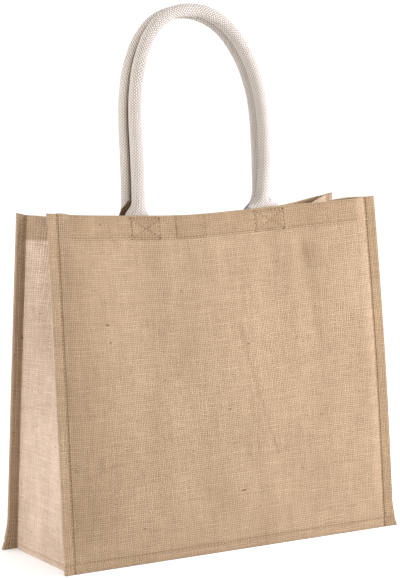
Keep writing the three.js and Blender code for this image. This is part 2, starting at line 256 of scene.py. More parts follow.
def panel_shade(face, x, z):
    """Painted shade that darkens the cloth, from 0 to 1: along its thread lines and creases, on the right
    flange, below the bottom seam and on the doubled hem.
    """
    hem = smooth(HEM_END - np.abs(x), -3, 3)
    dark = line(PAINTED_SHADE_LINES, "side", np.abs(x) - seam_of(x))
    dark = dark + PAINTED_SHADE["right_flange"] * smooth(x - seam_of(x), -1, 1)
    dark = dark + line(PAINTED_SHADE_LINES, "bottom", z - BOTTOM_LINE)
    dark = dark + PAINTED_SHADE["below_bottom"] * (1 - smooth(z, 0, BOTTOM_LINE))
    # Painted shade on the hem band, where the cloth is doubled
    hem_shade = PAINTED_SHADE["hem"] * smooth(z, HEM_LINE - 1, HEM_LINE + 1)
    dark = dark + hem * (line(PAINTED_SHADE_LINES, "hem", z - HEM_LINE) + hem_shade)
    for foot in feet_of(face):
        for start, end in box_lines(foot):
            dark = np.maximum(dark, line(PAINTED_SHADE_LINES, "box", line_distance(x, z, start, end)))
    # Painted shade in the front's creases
    for trough in crease_lines(face, x, z, "dark"):
        dark = dark + trough
    # Painted shade along the hem's two upright thread lines and the hem line between them
    for place in HEM_CREASES:
        dark = dark + line(PAINTED_SHADE_LINES, "crease", x - place) * smooth(z, HEM_LINE, HEM_LINE + 2)
    between = smooth(x, HEM_CREASES[0] - 1, HEM_CREASES[0] + 1) * smooth(HEM_CREASES[1] - x, -1, 1)
    dark = dark + line(PAINTED_SHADE_LINES, "between_creases", z - HEM_LINE) * between
    return np.clip(dark, 0, PAINTED_SHADE["most"])


def panel_point(face, x, z, deep=0.0):
    """A point of a panel's cloth: deep is how far it lies in from the outer face."""
    point = stand(x, face * (HALF_DEPTH - deep), z)
    flange = smooth(np.abs(x), SEAM_LINE - 8, SEAM_LINE - 3)
    inner = np.clip(np.asarray(deep) / CLOTH, 0, 1)
    out = panel_folds(face, x, z) + panel_sewing(face, x, z) * (1 - inner)
    out = out * (1 - inner * flange)
    point[..., 1] += face * out
    return point


# Meshes: one from a grid of rings, each a closed section with its outer side first, and one from faces
def ring_corners(values):
    column = np.arange(values.shape[1] - 1)
    corners = [values[:-1, column], values[1:, column], values[1:, column + 1], values[:-1, column + 1]]
    return np.stack(corners, -1).reshape(-1, 4)


def ring_mesh(name, rings, cloth_u, cloth_v, material, shade=None):
    rows, count = rings.shape[:2]
    at = np.arange(rows * count).reshape(rows, count)
    nxt = np.roll(at, -1, axis=1)
    quads = np.stack([at[:-1], at[1:], nxt[1:], nxt[:-1]], -1).reshape(-1, 4)
    u = np.broadcast_to(cloth_u, (rows, count + 1))
    v = np.broadcast_to(cloth_v, (rows, count + 1))
    corner_u, corner_v = ring_corners(u), ring_corners(v)
    k = np.arange(count // 2 - 1)
    for row, turn in ((0, 1), (rows - 1, -1)):
        cap = np.stack([at[row, k], at[row, k + 1], at[row, count - 2 - k], at[row, count - 1 - k]], -1)
        cap_u = np.repeat(u[row, k][:, None], 4, 1) + np.array([0, 0, CLOTH, CLOTH])
        cap_v = np.stack([v[row, k], v[row, k + 1], v[row, k + 1], v[row, k]], -1)
        quads = np.concatenate([quads, cap[:, ::turn]])
        corner_u = np.concatenate([corner_u, cap_u[:, ::turn]])
        corner_v = np.concatenate([corner_v, cap_v[:, ::turn]])
    points = rings.reshape(-1, 3)
    a, b, c, d = (points[quads[:, i]] for i in range(4))
    volume = np.einsum("ij,ij->i", a, np.cross(b, c)).sum() + np.einsum("ij,ij->i", a, np.cross(c, d)).sum()
    if volume < 0:
        quads, corner_u, corner_v = quads[:, ::-1], corner_u[:, ::-1], corner_v[:, ::-1]
    piece = mesh_piece(name, points, quads.tolist(), material)
    layer = piece.data.uv_layers.new(name="cloth")
    flat = np.stack([corner_u.reshape(-1), corner_v.reshape(-1)], -1).astype(np.float32) / 1000
    layer.data.foreach_set("uv", np.ascontiguousarray(flat).reshape(-1))
    if shade is not None:
        values = piece.data.attributes.new("shade", "FLOAT", "POINT")
        values.data.foreach_set("value", np.ascontiguousarray(shade, np.float32).reshape(-1))
    return piece


def add_object(name, data):
    made = bpy.data.objects.new(name, data)
    bpy.context.scene.collection.objects.link(made)
    return made


def mesh_piece(name, points, faces, material):
    mesh = bpy.data.meshes.new(name)
    mesh.from_pydata((points / 1000).tolist(), [], faces)
    mesh.polygons.foreach_set("use_smooth", [True] * len(mesh.polygons))
    mesh.materials.append(material)
    mesh.update()
    return add_object(name, mesh)


def tube_faces(first, rings, sides):
    """The faces between the rings of a tube whose points start at number first."""
    faces = []
    for ring in range(rings - 1):
        for turn in range(sides):
            a, b = first + ring * sides + turn, first + ring * sides + (turn + 1) % sides
            faces.append((a, b, b + sides, a + sides))
    return faces


def floor_clear(points):
    """The points, with none below the floor."""
    points = np.array(points)
    points[:, 2] = np.maximum(points[:, 2], 0)
    return points


# Node materials
def set_inputs(node, values):
    for name, value in values.items():
        node.inputs[name].default_value = value


class Nodes:
    """Short calls for the shader nodes of one material."""

    def __init__(self, name):
        self.material = bpy.data.materials.new(name)
        self.material.use_nodes = True
        self.tree = self.material.node_tree
        self.shader = self.tree.nodes["Principled BSDF"]

    def put(self, socket, value):
        if hasattr(value, "is_output"):
            self.tree.links.new(value, socket)
        else:
            socket.default_value = value

    def new(self, kind):
        return self.tree.nodes.new("ShaderNode" + kind)

    def fill(self, node, *values):
        """Puts values or links into a node's first inputs."""
        for socket, value in zip(node.inputs, values):
            if value is not None:
                self.put(socket, value)
        return node.outputs[0]

    def math(self, operation, a, b=None, c=None):
        node = self.new("Math")
        node.operation = operation
        return self.fill(node, a, b, c)

    def sway(self, value, size, middle):
        """The middle, moved by how far a noise value is from a half."""
        return self.math("MULTIPLY_ADD", self.math("SUBTRACT", value, 0.5), size, middle)

    def round_top(self, off):
        """How high a round thread is, off from its middle line by up to 1."""
        left = self.math("SUBTRACT", 1.0, self.math("MULTIPLY", off, off))
        return self.math("SQRT", self.math("MAXIMUM", left, 0.0))

    def join(self, x, y, z=0.0):
        return self.fill(self.new("CombineXYZ"), x, y, z)

    def grid(self, u, v, scale_u, scale_v, shift=0.0):
        """A place on the cloth for a noise that is stretched along or across its threads."""
        return self.join(self.math("MULTIPLY", u, scale_u), self.math("MULTIPLY", v, scale_v), shift)

    def noise(self, vector, scale=1.0, detail=2.0, roughness=0.5):
        node = self.new("TexNoise")
        self.put(node.inputs["Vector"], vector)
        set_inputs(node, {"Scale": scale, "Detail": detail, "Roughness": roughness})
        return node.outputs["Fac"]

    def range(self, value, low, high, to_low=0.0, to_high=1.0):
        return self.fill(self.new("MapRange"), value, low, high, to_low, to_high)

    def ramp(self, value, stops):
        node = self.new("ValToRGB")
        self.put(node.inputs[0], value)
        for element, (place, colour) in zip(node.color_ramp.elements, stops):
            element.position = place
            element.color = colour
        return node.outputs[0]

    def blend(self, factor, a, b, kind="MIX"):
        node = self.new("Mix")
        node.data_type = "RGBA"
        node.blend_type = kind
        self.put(node.inputs["Factor"], factor)
        self.put(node.inputs[6], a)
        self.put(node.inputs[7], b)
        return node.outputs[2]

    def finish(self, colour, height, distance, even):
        """Gives the shader its colour, a fine relief and the values that are the same all over."""
        self.put(self.shader.inputs["Base Color"], colour)
        set_inputs(self.shader, even)
        node = self.new("Bump")
        set_inputs(node, {"Strength": 1.0, "Distance": distance})
        self.put(node.inputs["Height"], height)
        self.put(self.shader.inputs["Normal"], node.outputs[0])
        return self.material

    def threads(self, pitch_u, pitch_v):
        """The place on the cloth, counted in threads of these pitches."""
        node, split = self.new("UVMap"), self.new("SeparateXYZ")
        node.uv_map = "cloth"
        self.fill(split, node.outputs[0])
        return [self.math("DIVIDE", split.outputs[k], pitch) for k, pitch in enumerate((pitch_u, pitch_v))]

    def place(self):
        return self.new("TexCoord").outputs["Object"]

    def shaded(self, colour):
        """The colour made darker and warmer by the mesh's painted shade."""
        node = self.new("Attribute")
        node.attribute_name = "shade"
        shade = node.outputs["Fac"]
        left = [self.math("SUBTRACT", 1.0, self.math("MULTIPLY", shade, share)) for share in SHADE_WARMTH]
        return self.blend(1.0, colour, self.join(*left), "MULTIPLY")


def linear(red, green, blue):
    """A colour as seen, from 0 to 255, as the shader wants it."""
    values = [v / 255 for v in (red, green, blue)]
    return *(v / 12.92 if v <= 0.04045 else ((v + 0.055) / 1.055) ** 2.4 for v in values), 1


# How much the painted shade takes from red, green and blue
SHADE_WARMTH = (0.88, 1.0, 1.25)
JUTE_GAP_SHADE = linear(104, 75, 46)
JUTE_FLECKS = linear(88, 62, 38)
PALER_FIBRE = (1.25, 1.22, 1.18, 1)
COTTON_GAP_SHADE = linear(120, 101, 84)
CLOTH_RELIEF, FIBRE_RELIEF = 0.0011, 0.0003
JUTE_EVEN = {"Roughness": 0.86, "Specular IOR Level": 0.25, "Sheen Weight": 0.12, "Sheen Roughness": 0.5,
             "Sheen Tint": linear(240, 220, 190)}
COTTON_EVEN = {"Roughness": 0.82, "Specular IOR Level": 0.25, "Sheen Weight": 0.15, "Sheen Roughness": 0.5}
FIBRE_EVEN = {"Roughness": 0.9, "Specular IOR Level": 0.2, "Sheen Weight": 0.2}
FLOOR_EVEN = {"Base Color": (0.92, 0.92, 0.92, 1), "Roughness": 1.0, "Specular IOR Level": 0.0}


# A plain weave: threads that pass over and under each other, with thick and thin places
def weave(nodes, pitch):
    u, v = nodes.threads(pitch, pitch)
    drift_u = nodes.noise(nodes.grid(u, v, *WEAVE["drift"]), 1, 2)
    drift_v = nodes.noise(nodes.grid(u, v, *WEAVE["drift"][::-1], 7.0), 1, 2)
    u = nodes.sway(drift_u, WEAVE["wander"], u)
    v = nodes.sway(drift_v, WEAVE["wander"], v)
    across_u, across_v = nodes.math("FRACT", u), nodes.math("FRACT", v)
    number_u, number_v = nodes.math("FLOOR", u), nodes.math("FLOOR", v)
    width_warp = nodes.noise(nodes.grid(number_u, v, *WEAVE["uneven"]), 1, 1)
    width_weft = nodes.noise(nodes.grid(u, number_v, *WEAVE["uneven"][::-1], 3.0), 1, 1)

    def thread(across, width):
        off = nodes.math("ABSOLUTE", nodes.math("SUBTRACT", across, 0.5))
        return nodes.round_top(nodes.math("DIVIDE", off, nodes.range(width, 0.3, 0.7, *WEAVE["half_width"])))

    def wave(along, number):
        odd = nodes.math("MODULO", nodes.math("ABSOLUTE", number), 2.0)
        turn = nodes.math("MULTIPLY_ADD", odd, math.pi, nodes.math("MULTIPLY", along, math.pi))
        return nodes.math("SINE", turn)

    warp = nodes.math("MULTIPLY_ADD", wave(v, number_u), WEAVE["crossing"], thread(across_u, width_warp))
    weft = nodes.math("MULTIPLY_ADD", wave(u, number_v), -WEAVE["crossing"], thread(across_v, width_weft))
    warp_up = nodes.math("GREATER_THAN", warp, weft)
    height = nodes.math("MULTIPLY", nodes.math("MAXIMUM", warp, weft), WEAVE["height"])
    return u, v, number_u, number_v, warp_up, height


def jute_cloth(name, light, dark, seed=0.0, patchy=0.34, uneven=0.95, gap_shade=0.7):
    nodes = Nodes(name)
    u, v, number_u, number_v, warp_up, height = weave(nodes, THREAD / 1000)
    warp_tone = nodes.noise(nodes.grid(number_u, v, 0.91, 0.05, seed), 1, 3, 0.6)
    weft_tone = nodes.noise(nodes.grid(u, number_v, 0.05, 0.91, seed + 5), 1, 3, 0.6)
    own = nodes.math("ADD", nodes.math("MULTIPLY", warp_tone, warp_up),
                     nodes.math("MULTIPLY", weft_tone, nodes.math("SUBTRACT", 1.0, warp_up)))
    bands = nodes.noise(nodes.grid(u, v, 0.09, 0.012, seed + 9), 1, 2)
    clouds = nodes.noise(nodes.grid(u, v, 0.03, 0.03, seed + 13), 1, 3)
    tone = nodes.sway(own, uneven, 0.5)
    tone = nodes.sway(bands, patchy, tone)
    tone = nodes.sway(clouds, patchy, tone)
    colour = nodes.ramp(tone, [(0.1, dark), (0.9, light)])
    # Painted shade in the gaps between the threads, where the weave lies low
    colour = nodes.blend(nodes.range(height, 0.1, 0.8, gap_shade, 0.0), colour, JUTE_GAP_SHADE)
    flecks = nodes.noise(nodes.grid(u, v, 0.22, 0.45, seed + 21), 1, 1)
    colour = nodes.blend(nodes.range(flecks, 0.755, 0.8, 0.0, 0.8), colour, JUTE_FLECKS)
    fibre = nodes.noise(nodes.grid(u, v, 3.1, 3.1, seed), 1, 3, 0.7)
    paler = nodes.blend(1.0, colour, PALER_FIBRE, "MULTIPLY")
    colour = nodes.blend(nodes.range(fibre, 0.3, 0.7, 0.0, 0.35), colour, paler)
    rough = nodes.math("MULTIPLY_ADD", fibre, 0.25, height)
    return nodes.finish(nodes.shaded(colour), rough, CLOTH_RELIEF, JUTE_EVEN)


# Webbing with small beads in rows, each row half a bead on from the last
def cotton_cloth(name, row_pitch, bead_pitch):
    nodes = Nodes(name)
    u, v = nodes.threads(row_pitch / 1000, bead_pitch / 1000)
    shift = nodes.math("MULTIPLY", nodes.math("FLOOR", u), 0.5)
    along = nodes.math("FRACT", nodes.math("ADD", v, shift))
    off = nodes.math("MULTIPLY", nodes.math("SUBTRACT", nodes.math("FRACT", u), 0.5), 2.0)
    bead = nodes.math("SINE", nodes.math("MULTIPLY", along, math.pi))
    height = nodes.math("MULTIPLY", nodes.round_top(off), nodes.math("MULTIPLY_ADD", bead, 0.8, 0.2))
    fibre = nodes.noise(nodes.grid(u, v, 1.7, 3.0), 1, 3, 0.7)
    patch = nodes.noise(nodes.place(), 40, 3, 0.6)
    tone = nodes.sway(patch, 0.5, nodes.math("MULTIPLY_ADD", fibre, 0.3, 0.35))
    colour = nodes.ramp(tone, [(0.2, linear(202, 191, 182)), (0.8, linear(231, 222, 213))])
    # Painted shade between the beads, where the webbing lies low
    colour = nodes.blend(nodes.range(height, 0.05, 0.75, 0.95, 0.0), colour, COTTON_GAP_SHADE)
    rough = nodes.math("MULTIPLY_ADD", fibre, 0.2, height)
    return nodes.finish(nodes.shaded(colour), rough, CLOTH_RELIEF, COTTON_EVEN)


def fibre_stuff(name, light, dark, scale):
    nodes = Nodes(name)
    grain = nodes.noise(nodes.place(), scale, 3, 0.7)
    colour = nodes.ramp(grain, [(0.3, dark), (0.7, light)])
    return nodes.finish(colour, grain, FIBRE_RELIEF, FIBRE_EVEN)


JUTE = jute_cloth("jute_front", linear(181, 155, 126), linear(138, 113, 86))
# The jute of the gussets and base: the front's cloth painted lighter and pinker, as painted light, with a
# patchier tone of its own
JUTE_SIDE_PAINTED_LIGHTER = jute_cloth("jute_side_painted_lighter", linear(212, 189, 171), linear(160, 138, 118),
                       seed=31.0, patchy=0.6, uneven=1.15, gap_shade=0.8)
COTTON = cotton_cloth("cotton_webbing", row_pitch=1.6, bead_pitch=3.3)
# A brown cord, painted as dark as jute in deep shade
ROPE_WITH_PAINTED_SHADE = fibre_stuff("brown_cord_with_painted_shade", linear(112, 88, 56), linear(66, 48, 28), scale=900)
SEWING = fibre_stuff("sewing_thread", linear(200, 173, 143), linear(164, 136, 106), scale=1500)
FUZZ = fibre_stuff("loose_fibres", linear(236, 212, 178), linear(196, 164, 124), scale=300)


def reach_of(path):
    """How far along a path each of its points lies."""
    return np.concatenate([[0], np.cumsum(np.linalg.norm(np.diff(path, axis=0), axis=1))])


def at_reach(values, reach, where):
    return np.array([np.interp(where, reach, values[:, i]) for i in range(3)])


# Small stitches laid end to end along paths on a surface
def stitches(name, paths):
    radius, sides = STITCH["radius"], STITCH["sides"]
    points, faces = [], []
    for path, normal in paths:
        reach = reach_of(path)
        number = max(1, int(reach[-1] // STITCH["pitch"]))
        for centre in (np.arange(number) + 0.5) * reach[-1] / number:
            here = at_reach(path, reach, centre)
            ahead = at_reach(path, reach, min(centre + 1, reach[-1]))
            behind = at_reach(path, reach, max(centre - 1, 0))
            along = (ahead - behind) / np.linalg.norm(ahead - behind)
            side = np.cross(along, at_reach(normal, reach, centre))
            side /= np.linalg.norm(side)
            up = np.cross(side, along)
            first = len(points)
            for place, size in STITCH_RINGS:
                lift = radius * (STITCH["lift"] - STITCH["arch"] * abs(place) ** 2)
                for turn in range(sides):
                    angle = 2 * math.pi * turn / sides
                    tall = math.sin(angle) * size * radius * STITCH["flatness"] + lift
                    off = side * math.cos(angle) * size * radius + up * tall
                    points.append(here + along * place * STITCH["length"] + off)
            faces += [(a, d, c, b) for a, b, c, d in tube_faces(first, len(STITCH_RINGS), sides)]
            last = first + (len(STITCH_RINGS) - 1) * sides
            faces.append(tuple(first + t for t in range(sides)))
            faces.append(tuple(last + t for t in reversed(range(sides))))
    return mesh_piece(name, floor_clear(points), faces, SEWING)


def normals_of(surface, x, z, outward):
    """The outward directions of a surface given as a function of two values."""
    along = surface(x + 0.5, z) - surface(x - 0.5, z)
    up = surface(x, z + 0.5) - surface(x, z - 0.5)
    normal = np.cross(along, up)
    normal /= np.linalg.norm(normal, axis=-1, keepdims=True)
    return normal * np.sign((normal * outward).sum(-1, keepdims=True))


# Loose fibres that stand off a surface
def fuzz(name, surface, outward, spots, seed, longest):
    dice = np.random.default_rng(seed)
    points, faces = [], []
    x, z = spots[:, 0], spots[:, 1]
    for root, normal in zip(surface(x, z), normals_of(surface, x, z, outward)):
        side = dice.normal(size=3)
        side -= normal * side.dot(normal)
        side /= np.linalg.norm(side)
        reach = dice.uniform(*FIBRE["reach"]) * longest
        rise = dice.uniform(*FIBRE["rise"])
        bend = np.cross(normal, side) * dice.uniform(-FIBRE["bend"], FIBRE["bend"])
        across = np.cross(side, normal)
        first = len(points)
        for t in FIBRE["places"]:
            lift = rise * reach * math.sin(FIBRE["turn"] * t) - FIBRE["sunk"]
            middle = root + side * reach * t + normal * lift + bend * reach * t * t
            size = FIBRE["thick"] * (1 - FIBRE["taper"] * t) / 2
            for angle in FIBRE["angles"]:
                points.append(middle + across * math.cos(angle) * size + normal * math.sin(angle) * size)
        faces += tube_faces(first, len(FIBRE["places"]), len(FIBRE["angles"]))
    return mesh_piece(name, floor_clear(points), faces, FUZZ)


def spots_in(dice, count, wide, tall):
    return np.stack([dice.uniform(*wide, count), dice.uniform(*tall, count)], -1)


# Front and back panels: columns and rows of their mesh, with ranges as start, end and step
PANEL_COLUMNS = dict(even=(-194.9, 195, 2.6), fine=(-21.6, 21.7, 0.9), clear=22)
PANEL_EDGE = (195.6, 196.3, 197, 197.7, 198.3, 199, 199.7, 200.4, 201.5, 203, 205, 206.5, 207.8, 208.8,
              209.5, 210)
PANEL_FOOT = (0, 0.35, 1, 2, 3.2, 4.5, 6, 7.2, 8, 8.6, 9, 9.4, 10, 10.8, 12)
PANEL_ROWS = dict(even=(14.5, 338, 2.9), fine=(338.4, 368, 0.9), turn=9)
# Fibres: how many, and from where to where across and up
PANEL_FIBRES = dict(even=(900, (-209, 209), (2, 366)), edge=(260, (208.5, 209.8), (2, 366)),
                    foot=(200, (-209, 209), (0.8, 2.0)), longest=4.0)
TURNED_LENGTH, HEM_STEP = 4, (1.6, 0.4)


def up_and_over(rises, turns):
    """How far along the cloth each row lies: up its outer side, over its top edge and down inside."""
    down = HEIGHT + TURNED_LENGTH + 2 + (HEIGHT - rises[::-1])
    return np.concatenate([rises, HEIGHT + np.linspace(0, TURNED_LENGTH, turns), down, [2 * HEIGHT + 8]])


def section_of(rises, hemmed, turns):
    """The rows' heights, and how deep each lies in from the outer face: more where the hem is turned in."""
    thick = CLOTH * (1 + hemmed)
    turn = np.linspace(0, np.pi, turns)[None, :]
    outer_z = np.broadcast_to(rises, (len(hemmed), len(rises)))
    down = rises[::-1]
    step = smooth(down, HEM_LINE - HEM_STEP[0], HEM_LINE - HEM_STEP[1])[None, :]
    arc_z = HEIGHT - thick / 2 + thick / 2 * np.sin(turn)
    z = np.concatenate([outer_z, arc_z, np.broadcast_to(down, outer_z.shape)], 1)
    arc_deep = thick / 2 * (1 - np.cos(turn))
    deep = np.concatenate([np.zeros_like(outer_z), arc_deep, CLOTH + CLOTH * hemmed * step], 1)
    return z, deep


def panel_grid(face):
    wide = np.arange(*PANEL_COLUMNS["even"])
    for foot in feet_of(face):
        wide = wide[np.abs(wide - foot) > PANEL_COLUMNS["clear"]]
    fine = [foot + np.arange(*PANEL_COLUMNS["fine"]) for foot in feet_of(face)]
    edge = [side * x for side in (-1, 1) for x in PANEL_EDGE]
    columns = np.concatenate([wide, *fine, edge])
    rows = np.concatenate([PANEL_FOOT, np.arange(*PANEL_ROWS["even"]), np.arange(*PANEL_ROWS["fine"])])
    return np.unique(np.round(columns, 3)), np.unique(np.round(rows, 3))


def panel_thread_lines(face):
    tall = np.linspace(1.5, HEIGHT - 2, 160)
    lines = [(np.full_like(tall, side * seam_of(side)), tall) for side in (-1, 1)]
    wide = np.linspace(-HALF_WIDTH + 2, HALF_WIDTH - 2, 180)
    lines.append((wide, np.full_like(wide, BOTTOM_LINE)))
    wide = np.linspace(-SEAM_LINE, SEAM_LINE, 180)
    lines.append((wide, np.full_like(wide, HEM_LINE)))
    t = np.linspace(0, 1, 20)
    for foot in feet_of(face):
        lines += [(mix(ax, bx, t), mix(az, bz, t)) for (ax, az), (bx, bz) in box_lines(foot)]
    if face < 0:
        tall = np.linspace(HEM_LINE, HEIGHT - 5, 20)
        lines += [(np.full_like(tall, place), tall) for place in HEM_CREASES]
    return lines


def panel_spots(face):
    dice = np.random.default_rng(41 + face)
    spots = spots_in(dice, *PANEL_FIBRES["even"])
    sides = np.sign(dice.uniform(-1, 1, PANEL_FIBRES["edge"][0]))
    edge = spots_in(dice, *PANEL_FIBRES["edge"])
    edge[:, 0] *= sides
    return np.concatenate([spots, edge, spots_in(dice, *PANEL_FIBRES["foot"])])


def panel_piece(name, face, material):
    xs, rises = panel_grid(face)
    hemmed = smooth(HEM_END - np.abs(xs), -1, 1)[:, None]
    z, deep = section_of(rises, hemmed, PANEL_ROWS["turn"])
    x = np.broadcast_to(xs[:, None], z.shape)
    rings = panel_point(face, x, z, deep)
    length = up_and_over(rises, PANEL_ROWS["turn"])
    piece = ring_mesh(name, rings, xs[:, None], length[None, :], material, panel_shade(face, x, z))

    def surface(a, b):
        return panel_point(face, a, b)

    outward = np.array([0, face, 0])
    paths = [(surface(a, b), normals_of(surface, a, b, outward)) for a, b in panel_thread_lines(face)]
    sewn = stitches(name + "_stitches", paths)
    loose = fuzz(name + "_fibres", surface, outward, panel_spots(face), 51 + face, PANEL_FIBRES["longest"])
    return piece, [sewn, loose]


# Side gussets, whose share t runs from 0 at the front seam's edge to 1 at the back one's
GUSSET_WALL = (0.1, 0.9)
GUSSET_SEAM, GUSSET_THREAD, FLANGE_END = 0.088, 0.05, (0.08, 0.1)
GUSSET_COLUMNS = (np.linspace(0, 0.08, 6), [0.085, 0.0875, 0.09, 0.095], np.linspace(0.1, 0.9, 61),
                  [0.905, 0.91, 0.9125, 0.915], np.linspace(0.92, 1, 6))
GUSSET_ROWS = ([0, 0.4, 1, 2, 3.5, 5, 6.5, 8, 9, 10, 12], np.arange(15, 340, 3),
               [341, 343, 344.2, 345, 346, 348], np.arange(350, 368, 2))
GUSSET_TURN = 7
GUSSET_FIBRES = dict(even=(420, (11, 89), (2, 366)), rim=(60, (12, 88), (366, 369.5)), longest=3.2)
GUSSET_FOOT_LINE, GUSSET_WIDTH_AT = 5, 100.0


def gusset_base(side, t):
    """The square bag's line round a gusset."""
    wall_y = HALF_DEPTH - 2 * CLOTH - GAP
    wall_x = HALF_WIDTH - SEAM
    out = np.array([HALF_WIDTH, HALF_WIDTH - 5, wall_x + 1.2, wall_x + 0.3, wall_x])
    back = np.array([wall_y, wall_y, wall_y, wall_y - 0.4, wall_y - 1.4])
    knots = np.array([0, 0.05, 0.085, 0.09, 0.1, 0.9, 0.91, 0.915, 0.95, 1])
    xs, ys = np.concatenate([out, out[::-1]]), np.concatenate([-back, back[::-1]])
    return side * np.interp(t, knots, xs), np.interp(t, knots, ys)


def gusset_point(side, t, z):
    x, y = gusset_base(side, t)
    point = stand(x, y, z)
    along = np.clip((np.asarray(t) - 0.1) / 0.8, 0, 1)
    bow = np.sin(np.pi * along)
    rise = np.clip(np.asarray(z) / HEIGHT, 0, 1.02)
    inward = FOLD["depth"] * rise ** FOLD["power"]
    outward = LIP["reach"] * np.maximum(0, 1 - np.asarray(z) / LIP["rise"])
    some = GUSSET_RIPPLE
    waves = ripple(along * some["span"], np.asarray(z), some["seed"] + side, *some["lengths"])
    folds = some["height"] * waves * bow ** 0.5 * smooth(z, *some["foot"])
    point[..., 0] += side * (outward * bow ** LIP["roundness"] - inward * bow ** FOLD["roundness"] + folds)
    point[..., 2] -= FOLD["dip"] * bow ** 2 * rise ** FOLD["dip_power"]
    return point


def gusset_shade(t, z):
    """Painted shade that darkens a gusset: at its hem, along its seam lines and down the rear flange."""
    ends = np.minimum(t, 1 - t)
    hem = GUSSET_PAINTED_SHADE["hem"] * smooth(z, HEM_LINE - 4, HEM_LINE + 2)
    dark = np.maximum(hem, GUSSET_PAINTED_SHADE["rear_flange"] * (1 - smooth(1 - t, *FLANGE_END)))
    dark = dark + line(GUSSET_PAINTED_SHADE_LINES, "hem", z - HEM_LINE)
    dark = dark + line(GUSSET_PAINTED_SHADE_LINES, "foot", z - GUSSET_FOOT_LINE)
    dark = dark + line(GUSSET_PAINTED_SHADE_LINES, "seam", ends - GUSSET_SEAM)
    return np.clip(dark + line(GUSSET_PAINTED_SHADE_LINES, "flange", ends - GUSSET_THREAD), 0, GUSSET_PAINTED_SHADE["most"])


def gusset_piece(name, side, material):
    ts = np.unique(np.round(np.concatenate(GUSSET_COLUMNS), 5))
    rises = np.unique(np.round(np.concatenate(GUSSET_ROWS), 3))
    start, end = GUSSET_WALL
    hemmed = (smooth(ts, start, start + 0.03) * (1 - smooth(ts, end - 0.03, end)))[:, None]
    z, deep = section_of(rises, hemmed, GUSSET_TURN)
    t = np.broadcast_to(ts[:, None], z.shape)
    rings = gusset_point(side, t, z)
    ahead = gusset_point(side, np.clip(t + 0.004, 0, 1), z) - gusset_point(side, np.clip(t - 0.004, 0, 1), z)
    normal = np.stack([ahead[..., 1], -ahead[..., 0]], -1)
    normal /= np.linalg.norm(normal, axis=-1, keepdims=True)
    rings[..., :2] -= normal * deep[..., None] * side
    across = reach_of(gusset_point(side, ts, np.full_like(ts, GUSSET_WIDTH_AT)))
    length = up_and_over(rises, GUSSET_TURN)
    piece = ring_mesh(name, rings, across[:, None], length[None, :], material, gusset_shade(t, z))

    def surface(a, b):
        return gusset_point(side, a / 100, b)

    outward = np.array([side, 0, 0])
    tall = np.linspace(2, HEIGHT - 3, 150)
    flange = surface(np.full_like(tall, 95.0), tall)
    sewn = stitches(name + "_stitches", [(flange, np.tile([0.0, -1.0, 0.0], (len(tall), 1)))])
    dice = np.random.default_rng(81 + side)
    spots = np.concatenate([spots_in(dice, *GUSSET_FIBRES[part]) for part in ("even", "rim")])
    loose = fuzz(name + "_fibres", surface, outward, spots, 91 + side, GUSSET_FIBRES["longest"])
    return piece, [sewn, loose]


# Base panel
def base_loop(inset, z):
    half_x = HALF_WIDTH - SEAM - CLOTH - GAP - inset
    half_y = HALF_DEPTH - CLOTH - GAP - inset
    radius = max(BASE_CORNER["least"], BASE_CORNER["radius"] - inset)
    points = []
    corners = [(1, 1), (-1, 1), (-1, -1), (1, -1)]
    for turn, (sx, sy) in enumerate(corners):
        for step in range(9):
            angle = (turn + step / 8) * math.pi / 2
            x = sx * (half_x - radius) + radius * math.cos(angle)
            points.append((x, sy * (half_y - radius) + radius * math.sin(angle)))
        nx, ny = corners[(turn + 1) % 4]
        ax, ay = points[-1]
        bx, by = (ax, ny * (half_y - radius)) if turn % 2 else (nx * (half_x - radius), ay)
        pieces = 16 if turn % 2 else 60
        points += [(mix(ax, bx, k / pieces), mix(ay, by, k / pieces)) for k in range(1, pieces)]
    flat = np.array(points)
    return flat, stand(flat[:, 0], flat[:, 1], z)


def base_piece(name, material):
    table = np.array(BASE_RINGS, float)
    spread = np.concatenate([np.linspace(0, 3, 10), np.linspace(3.25, 7, 18)])
    rows = np.stack([np.interp(spread, np.arange(len(table)), table[:, k]) for k in range(4)], -1)
    loops = [(row[2], row[3]) for row in rows[::-1]] + [(row[0], row[1]) for row in rows]
    made = [base_loop(inset, z) for inset, z in loops]
    flats = np.stack([m[0] for m in made])
    points = np.stack([m[1] for m in made])
    waves = BASE_RIPPLE["height"] * ripple(flats[..., 0], flats[..., 1], BASE_RIPPLE["seed"])
    points[..., 2] += waves * smooth(points[..., 2], *BASE_RIPPLE["above"])
    count = points.shape[1]
    faces = tube_faces(0, len(loops), count)
    faces.append(tuple(reversed(range(count))))
    faces.append(tuple((len(loops) - 1) * count + step for step in range(count)))
    piece = mesh_piece(name, floor_clear(points.reshape(-1, 3)), faces, material)
    layer = piece.data.uv_layers.new(name="cloth")
    corner = np.empty(len(piece.data.loops), int)
    piece.data.loops.foreach_get("vertex_index", corner)
    layer.data.foreach_set("uv", (flats.reshape(-1, 2)[corner] / 1000).astype(np.float32).reshape(-1))
    return piece


# Handles
LEG_ROWS = dict(low=(-22, 24, 47), high_start=26.5, high_count=20)
ARCH_STEPS = 90
STRAP = dict(steps=36, uneven=0.16, wave=7.3, slow_wave=19.1, thin_edge=(0.35, 1.2), edge_shade=(0.38, 2.4))
ROPE_FORM = dict(sides=18, strands=1.5, lay=26, around=27.6, groove=0.14, tip=0.28, tip_rings=5)


def lean_above(handle, above):
    return handle["lean"] * (above / (handle["top"] - HEIGHT)) ** 2


def over_foot(handle, side, rise, face_y, reach=0):
    """A point over a foot: on the hem up to the mouth, then straight up with the handle's lean."""
    above = max(0.0, rise)
    point = stand(handle["feet"][side]["x"] + reach, face_y, HEIGHT + min(0.0, rise))
    return point + [0, lean_above(handle, above), above]


